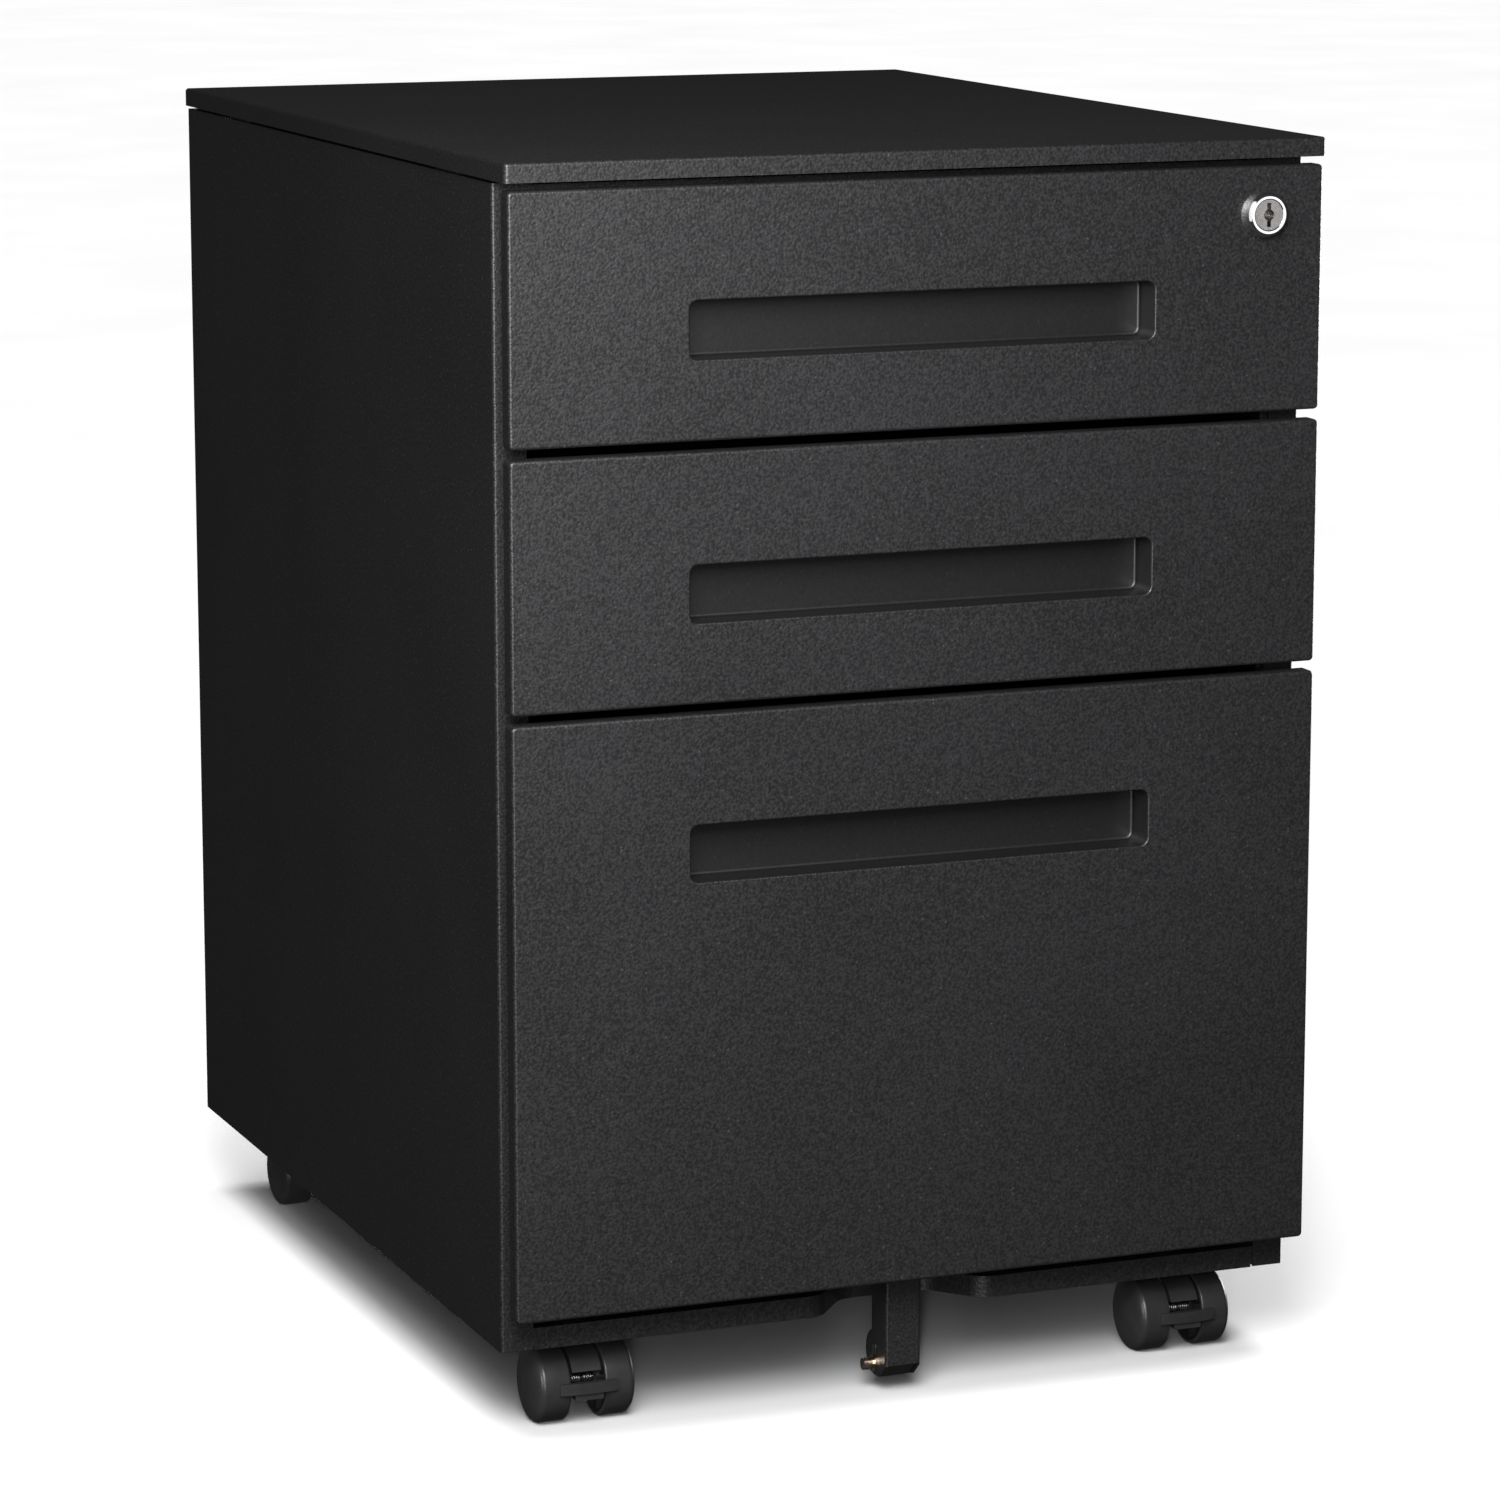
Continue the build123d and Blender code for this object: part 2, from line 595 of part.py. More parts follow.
def lock_bar():
    """Upright strip behind the right return, with a slotted driver plate and one hook per drawer."""
    pin_x, pin_z = cam_pin_place()
    slot_half = CAM_PIN_RADIUS + SLOT_CLEARANCE
    slot_end = CAM_PIN_RADIUS + SLOT_END_CLEARANCE
    driver_z = (pin_z - DRIVER_HALF, pin_z + DRIVER_HALF)
    bar = block(LOCK_BAR_X, LOCK_BAR_Y, LOCK_BAR_Z)
    bar += block((DRIVER_X, LOCK_BAR_X[0]), LOCK_BAR_Y, driver_z)
    slot_x = (pin_x - slot_end, LOCK_X + CAM_ARM + slot_end)
    bar -= block(slot_x, LOCK_BAR_Y, (pin_z - slot_half, pin_z + slot_half))
    for z in SLIDE_HEIGHTS:
        bar += block((HOOK_X, LOCK_BAR_X[0]), LOCK_BAR_Y, (z + HOOK_RISE[0], z + HOOK_RISE[1]))
    return bar


def lock_bar_guides():
    """Straps that hold the bar against the back of the right return and let it slide up."""
    guides = []
    inside_x = (LOCK_BAR_X[0] - GUIDE_GAP, LOCK_BAR_X[1] + GUIDE_GAP)
    outside_x = (inside_x[0] - GUIDE_STRAP, inside_x[1] + GUIDE_STRAP)
    front = RETURN_BACK_Y + JOINT_GAP
    back = LOCK_BAR_Y[1] + GUIDE_GAP
    for z in GUIDE_HEIGHTS:
        guide = block(outside_x, (front, back + GUIDE_STRAP), pair(z, GUIDE_HEIGHT))
        guides.append(guide - block(inside_x, (front, back), pair(z, GUIDE_HEIGHT)))
    return guides


# Anti-tip leg

def leg_profile():
    """Side view of the leg: straight channel with a round ear and a sloping tongue at its foot."""
    top = BOX_HEIGHTS[2][0]
    foot = make_face(Polyline(
        (LEG_FRONT_Y, LEG_BEND_Z), TONGUE_KNEE, (TONGUE_END_Y, LEG_BOTTOM_Z),
        (LEG_EAR_Y, LEG_EAR_Z - LEG_EAR_RADIUS), (LEG_EAR_Y, LEG_BEND_Z), close=True))
    middle = Pos(LEG_FRONT_Y + LEG_FLANGE / 2, (LEG_BEND_Z + top) / 2)
    straight = middle * Rectangle(LEG_FLANGE, top - LEG_BEND_Z)
    ear = Pos(LEG_EAR_Y, LEG_EAR_Z) * Circle(LEG_EAR_RADIUS)
    return foot + straight + ear


def along_x(profile, x):
    """Extrudes a side view, drawn as (y, z), between the pair x."""
    return Pos(x[0], 0, 0) * extrude(Plane.YZ * profile, x[1] - x[0])


def stabiliser_leg():
    """Channel-shaped leg: a slot in the left flange, a hole in the right one, and a top plate."""
    top = BOX_HEIGHTS[2][0]
    leg = along_x(leg_profile(), span(LEG_HALF))
    front_edges = leg.edges().filter_by(
        lambda edge: abs(abs(edge.center().X) - LEG_HALF) < 0.01 and edge.center().Y < LEG_FRONT_Y + 0.01)
    leg = fillet(front_edges, LEG_BEND)
    inside_y = LEG_FRONT_Y + LEG_SHEET
    inside_top = top - LEG_SHEET
    hollow = make_face(Polyline(
        (inside_y, inside_top), (inside_y, LEG_BEND_Z + TONGUE_INSIDE_RISE),
        (TONGUE_KNEE[0] + LEG_SHEET, TONGUE_KNEE[1] + TONGUE_INSIDE_RISE), (TONGUE_END_Y + LEG_SHEET, 0.0),
        (LEG_INSIDE_BACK_Y, 0.0), (LEG_INSIDE_BACK_Y, inside_top), close=True))
    inner_half = LEG_HALF - LEG_SHEET
    leg -= along_x(hollow, span(inner_half))
    leg -= block((inner_half - TONGUE_NOTCH, inner_half), (LEG_FRONT_Y - SHEET, LEG_EAR_Y), (0.0, LEG_BEND_Z))
    leg += block(span(LEG_PLATE_HALF), pair(LEG_FRONT_Y, LEG_PLATE_LENGTH), (top - LEG_SHEET, top))
    slot_height = LEG_SLOT_TOP - ROLLER_Z
    slot = Rot(0, 0, 90) * SlotCenterToCenter(slot_height, 2 * LEG_AXLE_RADIUS)
    leg -= along_x(Pos(ROLLER_Y, ROLLER_Z + slot_height / 2) * slot, (-LEG_HALF, 0.0))
    leg -= rod_x(LEG_AXLE_RADIUS, (0.0, LEG_HALF), ROLLER_Y, ROLLER_Z)
    for x, y in leg_screw_places():
        leg -= rod_z(SCREW_RADIUS, x, y, (top - LEG_SHEET, top))
    return leg


def stabiliser_axle():
    """Pin through both flanges of the leg, with a collar against the outside of each."""
    axle = rod_x(LEG_AXLE_RADIUS, (-LEG_HALF - AXLE_STUB, LEG_HALF + AXLE_TAIL), ROLLER_Y, ROLLER_Z)
    axle += rod_x(COLLAR_RADIUS, pair(-LEG_HALF - COLLAR_WIDTH, COLLAR_WIDTH), ROLLER_Y, ROLLER_Z)
    return axle + rod_x(COLLAR_RADIUS, pair(LEG_HALF, COLLAR_WIDTH), ROLLER_Y, ROLLER_Z)


def stabiliser_roller():
    roller = rod_x(ROLLER_RADIUS, span(ROLLER_HALF), ROLLER_Y, ROLLER_Z)
    roller = fillet(roller.edges(), ROLLER_EDGE)
    return roller - rod_x(LEG_AXLE_RADIUS + RUNNING_CLEARANCE, span(ROLLER_HALF), ROLLER_Y, ROLLER_Z)


def leg_screws():
    top = BOX_HEIGHTS[2][0]
    screws = []
    for x, y in leg_screw_places():
        screw = rod_z(SCREW_RADIUS, x, y, (top - LEG_SHEET, top + SHEET))
        head = rod_z(SCREW_HEAD_RADIUS, x, y, (top - LEG_SHEET - SCREW_HEAD, top - LEG_SHEET))
        screws.append(screw + head)
    return screws


# Carcass fasteners

def carcass_screws():
    """Pan-head screws through the back flanges and up through the top flanges."""
    screws = []
    for z in BACK_SCREW_ZS:
        shank = rod_y(SCREW_RADIUS, BACK_SCREW_X, (BODY_BACK_Y - SCREW_REACH, BODY_BACK_Y), z)
        head = rod_y(SCREW_HEAD_RADIUS, BACK_SCREW_X, pair(BODY_BACK_Y, SCREW_HEAD), z)
        head = fillet(head.edges().sort_by(Axis.Y)[-1], SCREW_HEAD / 2)
        screws += both(shank + head)
    for y in STIFFENER_YS:
        seat = BODY_TOP - SHEET
        shank = rod_z(SCREW_RADIUS, TOP_SCREW_X, y, pair(seat, SCREW_REACH))
        head = rod_z(SCREW_HEAD_RADIUS, TOP_SCREW_X, y, (seat - SCREW_HEAD, seat))
        screws += both(shank + head)
    return screws


# Casters, each modelled round its own stem and then moved to its corner

def caster_stem():
    stem = rod_z(STEM_RADIUS, 0, 0, (STEM_BOTTOM, STEM_TOP))
    return stem + hexagon(HEX_FLATS, STEM_RADIUS, 0, 0, (HOOD_TOP + HEX_GAP, BASE_TOP - SHEET))


def caster_nut():
    return hexagon(HEX_FLATS, STEM_RADIUS, 0, 0, (BASE_TOP, BASE_TOP + NUT_HEIGHT))


def caster_hood():
    """Curved hood between the wheels, open at the front, with the socket for the stem behind."""
    width = span(HOOD_HALF)
    y = -CASTER_TRAIL
    hood = rod_x(HOOD_RADIUS, width, y, WHEEL_RADIUS)
    hood -= block(width, (y - HOOD_RADIUS, y + HOOD_RADIUS), (0.0, HOOD_FLOOR))
    hood += rod_x(AXLE_BOSS_RADIUS, width, y, WHEEL_RADIUS)
    hood += rod_z(HOOD_HALF, 0, 0, (HOOD_FLOOR - SOCKET_DROP, HOOD_TOP))
    inside = span(HOOD_HALF - HOOD_WALL)
    chamber = rod_x(HOOD_RADIUS - HOOD_WALL, inside, y, WHEEL_RADIUS)
    chamber -= block(inside, (y + CHAMBER_BACK, y + HOOD_RADIUS), (0.0, 2 * WHEEL_RADIUS))
    hood -= chamber
    hood -= block(width, (y - HOOD_RADIUS, y - MOUTH_BACK), (HOOD_FLOOR, HOOD_MOUTH))
    hood -= rod_z(STEM_RADIUS + RUNNING_CLEARANCE, 0, 0, (STEM_BOTTOM - STEM_END_GAP, HOOD_TOP))
    return hood - rod_x(CASTER_AXLE_RADIUS, width, y, WHEEL_RADIUS)


def caster_axle():
    return rod_x(CASTER_AXLE_RADIUS, span(WHEEL_OUTER_X - AXLE_INSET), -CASTER_TRAIL, WHEEL_RADIUS)


def caster_wheel():
    """Right-hand wheel: plain tread, domed outer face, and a hollow inner side with ribs and a blind bore."""
    bore = CASTER_AXLE_RADIUS + RUNNING_CLEARANCE
    bore_end = WHEEL_OUTER_X - BORE_INSET
    hollow_end = WHEEL_INNER_X + HOLLOW_DEPTH
    inner_edge = (WHEEL_INNER_X, WHEEL_RADIUS - WHEEL_EDGE)
    tread_start = (WHEEL_INNER_X + WHEEL_EDGE, WHEEL_RADIUS)
    tread_end = (TREAD_END_X, WHEEL_RADIUS)
    centre_disc = (WHEEL_OUTER_X, WHEEL_DISC)
    outline = [
        Polyline(centre_disc, (WHEEL_OUTER_X, 0), (bore_end, 0), (bore_end, bore), (WHEEL_INNER_X, bore),
                 (WHEEL_INNER_X, HUB_RADIUS), (hollow_end, HUB_RADIUS + HUB_DRAFT),
                 (hollow_end, HOLLOW_RADIUS), (WHEEL_INNER_X, HOLLOW_RADIUS + RIM_DRAFT), inner_edge),
        TangentArc(inner_edge, tread_start, tangent=(0, 1)),
        Line(tread_start, tread_end),
        Spline([tread_end] + DOME_SHOULDER + [centre_disc], tangents=[(1, -0.3), (0, -1)]),
    ]
    wheel = revolve(make_face(outline), Axis.X)
    rib_x = (WHEEL_INNER_X + RIB_SETBACK, hollow_end + RIB_ROOT)
    for index in range(RIB_COUNT):
        rib = block(rib_x, span(RIB_THICKNESS / 2), (HUB_RADIUS, HOLLOW_RADIUS + RIB_END))
        wheel += Rot(360.0 / RIB_COUNT * index, 0, 0) * rib
    return Pos(0, -CASTER_TRAIL, WHEEL_RADIUS) * wheel


def brake_lever():
    """Lever that turns on the wheel axle, with a curved pedal across the front of both wheels."""
    y = -CASTER_TRAIL
    arm = span(LEVER_HALF)
    plate = span(HOOD_HALF - LEVER_SIDE_GAP)
    lever = rod_x(LEVER_BOSS_RADIUS, arm, y, WHEEL_RADIUS)
    lever += block(arm, (y - PLATE_BACK, y), LEVER_PLATE_Z)
    lever += block(plate, (y - PLATE_FRONT, y - PLATE_BACK), LEVER_PLATE_Z)
    lever += block(plate, (y - PLATE_FRONT, y - TOE_BACK), TOE_Z)
    bowed = Pos(0, y - PEDAL_FRONT + PEDAL_BOW) * Circle(PEDAL_BOW)
    bowed &= Pos(0, y - PEDAL_FRONT + PEDAL_DEPTH / 2) * Rectangle(2 * PEDAL_HALF, PEDAL_DEPTH)
    lever += Pos(0, 0, PEDAL_Z[0]) * extrude(bowed, PEDAL_Z[1] - PEDAL_Z[0])
    for beside in ((HOOD_HALF, 2 * PEDAL_HALF), (-2 * PEDAL_HALF, -HOOD_HALF)):
        lever -= rod_x(WHEEL_RADIUS + PEDAL_GAP, beside, y, WHEEL_RADIUS)
    return lever - rod_x(CASTER_AXLE_RADIUS + RUNNING_CLEARANCE, arm, y, WHEEL_RADIUS)


# Write every node

save("top_panel", top_panel())
save("top_stiffeners", *top_stiffeners())
save("right_side_panel", right_side_panel())
save("left_side_panel", mirrored(right_side_panel()))
save("back_panel", back_panel())
save("base_plate", base_plate())
save("cross_rails", *cross_rails())
save("slide_posts", *slide_posts())
save("cabinet_slide_members", *cabinet_slide_members())
save("slide_screws", *slide_screws())
save("carcass_screws", *carcass_screws())
save("lock_bar", lock_bar())
save("lock_bar_guides", *lock_bar_guides())
save("lock_housing", lock_housing())
save("lock_nut", lock_nut())
save("lock_plug", lock_plug())
save("lock_cam", lock_cam())

for number in range(len(FACE_HEIGHTS)):
    label = f"drawer_{number + 1}"
    save(f"{label}_front", drawer_front(number))
    save(f"{label}_pull_cup", pull_cup(number))
    save(f"{label}_inner_panel", inner_panel(number))
    save(f"{label}_box", drawer_box(number))
    save(f"{label}_slide_members", *drawer_slide_members(number))
    save(f"middle_slide_members_{number + 1}", *middle_slide_members(number))

save("hanging_file_bars", *hanging_file_bars())
save("stabiliser_leg", stabiliser_leg())
save("stabiliser_axle", stabiliser_axle())
save("stabiliser_roller", stabiliser_roller())
save("stabiliser_leg_screws", *leg_screws())

corners = {}
for row, axle_y in CASTER_AXLE_YS.items():
    corners[f"caster_{row}_left"] = Pos(-CASTER_X, axle_y + CASTER_TRAIL, 0)
    corners[f"caster_{row}_right"] = Pos(CASTER_X, axle_y + CASTER_TRAIL, 0)

save("caster_stems", *[place * caster_stem() for place in corners.values()])
save("caster_nuts", *[place * caster_nut() for place in corners.values()])
for label, place in corners.items():
    save(f"{label}_hood", place * caster_hood())
    save(f"{label}_axle", place * caster_axle())
    save(f"{label}_wheel_right", place * caster_wheel())
    save(f"{label}_wheel_left", place * mirrored(caster_wheel()))
    if "front" in label:
        save(f"{label}_brake_lever", place * brake_lever())
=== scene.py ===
"""Looks of the three-drawer pedestal cabinet: materials, fine pieces, stage and camera. Units are metres."""

import json
import math

import bmesh
import bpy
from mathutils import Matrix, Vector

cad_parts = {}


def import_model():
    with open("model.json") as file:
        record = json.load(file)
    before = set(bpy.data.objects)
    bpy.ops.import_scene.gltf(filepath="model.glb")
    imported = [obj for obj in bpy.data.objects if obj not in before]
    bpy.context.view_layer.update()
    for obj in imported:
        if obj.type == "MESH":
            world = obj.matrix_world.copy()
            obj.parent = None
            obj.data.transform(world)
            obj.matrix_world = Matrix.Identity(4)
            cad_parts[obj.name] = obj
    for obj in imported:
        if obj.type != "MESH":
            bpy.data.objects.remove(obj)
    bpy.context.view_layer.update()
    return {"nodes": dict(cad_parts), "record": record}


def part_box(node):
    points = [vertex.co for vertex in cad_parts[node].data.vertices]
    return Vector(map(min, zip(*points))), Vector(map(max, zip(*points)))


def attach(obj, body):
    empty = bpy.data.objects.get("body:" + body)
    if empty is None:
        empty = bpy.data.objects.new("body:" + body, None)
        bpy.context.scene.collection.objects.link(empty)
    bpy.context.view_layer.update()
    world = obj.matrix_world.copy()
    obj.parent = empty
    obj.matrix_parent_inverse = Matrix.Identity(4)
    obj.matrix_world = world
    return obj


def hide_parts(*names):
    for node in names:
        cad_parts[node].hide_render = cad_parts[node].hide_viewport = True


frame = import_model()
NODES = frame["nodes"]
RECORD = frame["record"]


# Node helpers

class Shader:
    """A new material with a Principled shader, and short ways to add nodes to it."""

    def __init__(self, name):
        self.material = bpy.data.materials.new(name)
        self.material.use_nodes = True
        self.tree = self.material.node_tree
        self.tree.nodes.clear()
        self.output = self.node("ShaderNodeOutputMaterial")
        self.surface = self.node("ShaderNodeBsdfPrincipled")
        self.join(self.surface.outputs["BSDF"], self.output.inputs["Surface"])
        self.place = self.node("ShaderNodeTexCoord").outputs["Object"]

    def node(self, kind, **values):
        made = self.tree.nodes.new(kind)
        for key, value in values.items():
            setattr(made, key, value)
        return made

    def join(self, output, socket):
        self.tree.links.new(output, socket)

    def feed(self, value, socket):
        """Sets the socket to a number, or links an output to it."""
        if isinstance(value, (int, float)):
            socket.default_value = value
        else:
            self.join(value, socket)

    def set(self, **values):
        """Shader sockets that are the same over the whole surface."""
        for key, value in values.items():
            self.surface.inputs[key.replace("_", " ")].default_value = value

    def to(self, socket, output):
        self.join(output, self.surface.inputs[socket])

    def noise(self, scale, detail=2.0, roughness=0.5, stretch=None):
        """Factor of a noise with so many features per metre, in the object's own place."""
        made = self.node("ShaderNodeTexNoise")
        made.inputs["Scale"].default_value = scale
        made.inputs["Detail"].default_value = detail
        made.inputs["Roughness"].default_value = roughness
        vector = self.place
        if stretch:
            mapping = self.node("ShaderNodeMapping")
            mapping.inputs["Scale"].default_value = stretch
            self.join(vector, mapping.inputs["Vector"])
            vector = mapping.outputs["Vector"]
        self.join(vector, made.inputs["Vector"])
        return made.outputs["Fac"]

    def spread(self, factor, low, high, start=0.3, end=0.7):
        """Number from low to high as the factor goes from start to end."""
        made = self.node("ShaderNodeMapRange")
        for socket, value in (("From Min", start), ("From Max", end), ("To Min", low), ("To Max", high)):
            made.inputs[socket].default_value = value
        self.join(factor, made.inputs["Value"])
        return made.outputs["Result"]

    def tint(self, factor, low, high, start=0.3, end=0.7):
        """Colour from low to high as the factor goes from start to end."""
        made = self.node("ShaderNodeValToRGB")
        first, last = made.color_ramp.elements
        first.position, last.position = start, end
        first.color, last.color = (*low, 1.0), (*high, 1.0)
        self.join(factor, made.inputs["Fac"])
        return made.outputs["Color"]

    def math(self, operation, first, second=0.0):
        made = self.node("ShaderNodeMath", operation=operation)
        self.feed(first, made.inputs[0])
        self.feed(second, made.inputs[1])
        return made.outputs["Value"]

    def vector_math(self, operation, vector, fixed=None):
        made = self.node("ShaderNodeVectorMath", operation=operation)
        self.join(vector, made.inputs[0])
        if fixed is not None:
            made.inputs[1].default_value = fixed
        return made

    def mix_colour(self, factor, first, second):
        """From the first colour, an output, to the second, a plain colour."""
        made = self.node("ShaderNodeMix", data_type="RGBA")
        self.join(factor, made.inputs["Factor"])
        self.join(first, made.inputs["A"])
        made.inputs["B"].default_value = (*second, 1.0)
        return made.outputs["Result"]

    def bump(self, *layers):
        """Layers of (height output, strength, depth in metres), one on top of the other."""
        normal = None
        for height, strength, depth in layers:
            made = self.node("ShaderNodeBump")
            made.inputs["Strength"].default_value = strength
            made.inputs["Distance"].default_value = depth
            self.join(height, made.inputs["Height"])
            if normal:
                self.join(normal, made.inputs["Normal"])
            normal = made.outputs["Normal"]
        self.to("Normal", normal)


# Materials

def powder_coat(name, low, high, relief=1.0):
    """Charcoal powder coat: fine grain, slight orange peel and sparse pale specks. Relief scales the grain."""
    shader = Shader(name)
    grain = shader.noise(750.0, detail=1.0)
    peel = shader.noise(260.0)
    cloud = shader.noise(9.0)
    specks = shader.node("ShaderNodeTexVoronoi", feature="F1")
    specks.inputs["Scale"].default_value = 420.0
    shader.join(shader.place, specks.inputs["Vector"])
    inside_speck = shader.spread(specks.outputs["Distance"], 1.0, 0.0, start=0.10, end=0.30)
    chance = shader.node("ShaderNodeSeparateColor")
    shader.join(specks.outputs["Color"], chance.inputs["Color"])
    chosen = shader.spread(chance.outputs["Red"], 0.0, 1.0, start=0.86, end=0.98)
    speck = shader.math("MULTIPLY", inside_speck, chosen)
    mottle = shader.math("ADD", shader.math("MULTIPLY", grain, 0.7), shader.math("MULTIPLY", cloud, 0.3))
    coat = shader.tint(mottle, low, high, start=0.35, end=0.65)
    speck_colour = tuple(3.2 * value for value in high)
    shader.to("Base Color", shader.mix_colour(shader.math("MULTIPLY", speck, 0.75), coat, speck_colour))
    sheen, sheen_change = 0.43, 0.07 * relief
    shader.to("Roughness", shader.spread(grain, sheen - sheen_change, sheen + sheen_change))
    shader.set(Specular_IOR_Level=0.75)
    shader.bump((peel, 0.3, 0.00005 * relief), (grain, 0.9, 0.00020 * relief))
    return shader.material


def bright_metal(name, scale, detail, roughness, colours, sheens, relief):
    """Bare metal with one cloudy noise behind its colour, its roughness and its bump."""
    shader = Shader(name)
    cloud = shader.noise(scale, detail, roughness)
    shader.to("Base Color", shader.tint(cloud, *colours))
    shader.to("Roughness", shader.spread(cloud, *sheens))
    shader.set(Metallic=1.0)
    shader.bump((cloud, *relief))
    return shader.material


def chrome():
    return bright_metal("chrome", 500.0, 2.0, 0.5, ((0.78, 0.78, 0.79), (0.90, 0.90, 0.91)),
                        (0.05, 0.12), (0.08, 0.00002))


def brass():
    return bright_metal("brass", 420.0, 3.0, 0.6, ((0.50, 0.36, 0.24), (0.80, 0.68, 0.55)),
                        (0.16, 0.34), (0.2, 0.00003))


def zinc_plate():
    """Zinc plate: cloudy colour over a grain drawn out along the drawers' travel."""
    shader = Shader("zinc_plate")
    grain = shader.noise(700.0, detail=3.0, roughness=0.6, stretch=(1.0, 0.05, 1.0))
    cloud = shader.noise(40.0, detail=3.0, roughness=0.6)
    shader.to("Base Color", shader.tint(cloud, (0.44, 0.45, 0.47), (0.66, 0.67, 0.68)))
    shader.to("Roughness", shader.spread(grain, 0.24, 0.42))
    shader.set(Metallic=1.0)
    shader.bump((grain, 0.15, 0.00002))
    return shader.material


def turned_nickel(centre):
    """Satin nickel with the fine rings of a lathe round the plug's own axis, which runs along Y."""
    ring_pitch = 0.00035
    shader = Shader("turned_nickel")
    away = shader.vector_math("SUBTRACT", shader.place, centre)
    flat = shader.vector_math("MULTIPLY", away.outputs["Vector"], (1.0, 0.0, 1.0))
    radius = shader.vector_math("LENGTH", flat.outputs["Vector"]).outputs["Value"]
    rings = shader.math("SINE", shader.math("MULTIPLY", radius, 2 * math.pi / ring_pitch))
    cloud = shader.noise(300.0)
    shader.to("Base Color", shader.tint(cloud, (0.52, 0.50, 0.49), (0.70, 0.68, 0.67)))
    shader.to("Roughness", shader.spread(cloud, 0.26, 0.36))
    shader.set(Metallic=1.0)
    shader.bump((rings, 0.25, 0.00003), (cloud, 0.1, 0.00002))
    return shader.material


def nylon():
    """Black moulded nylon: faint flow marks and a fine grain."""
    shader = Shader("nylon")
    grain = shader.noise(1800.0)
    flow = shader.noise(90.0, detail=3.0, roughness=0.55)
    shader.to("Base Color", shader.tint(flow, (0.022, 0.022, 0.023), (0.032, 0.032, 0.033)))
    shader.to("Roughness", shader.spread(grain, 0.30, 0.40))
    shader.set(Specular_IOR_Level=0.5)
    shader.bump((flow, 0.12, 0.00006), (grain, 0.12, 0.00003))
    return shader.material


lock_low, lock_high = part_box("lock_plug")
LOCK_CENTRE = (Vector(lock_low) + Vector(lock_high)) / 2
MATERIALS = {
    "panel_black": powder_coat("powder_coat", (0.0095, 0.0095, 0.0105), (0.0190, 0.0190, 0.0206)),
    "zinc_steel": zinc_plate(),
    "chrome_trim": chrome(),
    "nickel_plug": turned_nickel(LOCK_CENTRE),
    "brass_pin": brass(),
    "black_nylon": nylon(),
}
# Inside the pull recesses the coat is painted darker, as painted shade for the deep recess, and is smoother.
RECESS_PAINTED_SHADE_COAT = powder_coat("powder_coat_recess_painted_shade", (0.0050, 0.0050, 0.0056), (0.0060, 0.0060, 0.0067), relief=0.15)


def dress(thing, material):
    thing.data.materials.clear()
    thing.data.materials.append(material)


SLOTS = {part["node"]: part["material_slot"] for part in RECORD["subparts"]}
# The pull cups take the darker coat, which is painted shade.
for node, thing in NODES.items():
    dress(thing, RECESS_PAINTED_SHADE_COAT if "pull_cup" in node else MATERIALS[SLOTS[node]])


# Fine pieces

def linked(name, mesh):
    made = bpy.data.objects.new(name, mesh)
    bpy.context.scene.collection.objects.link(made)
    return made


def finish_piece(piece, slot, body=None):
    """Material of a fine piece, looked up by its slot name. The piece rides the body, or its parent if no body
    is given.
    """
    dress(piece, MATERIALS[slot])
    if body:
        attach(piece, body)


def solid(name, vertices, faces, sharp=math.radians(24.0)):
    """Mesh object with merged points, outward normals, and smooth shading up to the sharp angle."""
    mesh = bpy.data.meshes.new(name)
    mesh.from_pydata(vertices, [], faces)
    work = bmesh.new()
    work.from_mesh(mesh)
    bmesh.ops.remove_doubles(work, verts=work.verts, dist=1e-6)
    bmesh.ops.recalc_face_normals(work, faces=work.faces)
    work.to_mesh(mesh)
    work.free()
    mesh.shade_smooth()
    mesh.set_sharp_from_angle(angle=sharp)
    return linked(name, mesh)


def curve_points(first, second, third, fourth, steps):
    """Points along a cubic curve, the first one left out."""
    points = []
    for step in range(1, steps + 1):
        t = step / steps
        weights = ((1 - t) ** 3, 3 * t * (1 - t) ** 2, 3 * t * t * (1 - t), t ** 3)
        points.append(tuple(sum(w * p[axis] for w, p in zip(weights, (first, second, third, fourth)))
                            for axis in (0, 1)))
    return points


def lathe(name, outline, centre, axis, outward, segments=128):
    """Turned solid: (distance outward along the axis, radius) points, closed on itself."""
    vertices, faces = [], []
    others = [index for index in (0, 1, 2) if index != axis]
    for turn in range(segments):
        angle = 2 * math.pi * turn / segments
        for along, radius in outline:
            place = list(centre)
            place[axis] += outward * along
            place[others[0]] += radius * math.cos(angle)
            place[others[1]] += radius * math.sin(angle)
            vertices.append(place)
    count = len(outline)
    for turn in range(segments):
        here, there = turn * count, (turn + 1) % segments * count
        for step in range(count):
            after = (step + 1) % count
            faces.append((here + step, there + step, there + after, here + after))
    return solid(name, vertices, faces)


# Caster wheels

HUB_RADIUS = 0.0046
BORE_RADIUS = 0.00255
HOLLOW_RADIUS = 0.0146
RIM_RADIUS = 0.0166
HOLLOW_DEPTH = 0.009
HUB_DRAFT = 0.0008
WEB_THICKNESS = 0.0034
TREAD_WIDTH = 0.01245
EDGE_ROUND = 0.0008
CREASE_ROUND = 0.0005
DISC_RADIUS = 0.006
RIBS = 6
RIB_HALF = 0.0006
RIB_SETBACK = 0.0015
RIB_SINK = 0.0005
RIB_RIM_GAP = 0.0004
RIB_BEVEL = 0.00025


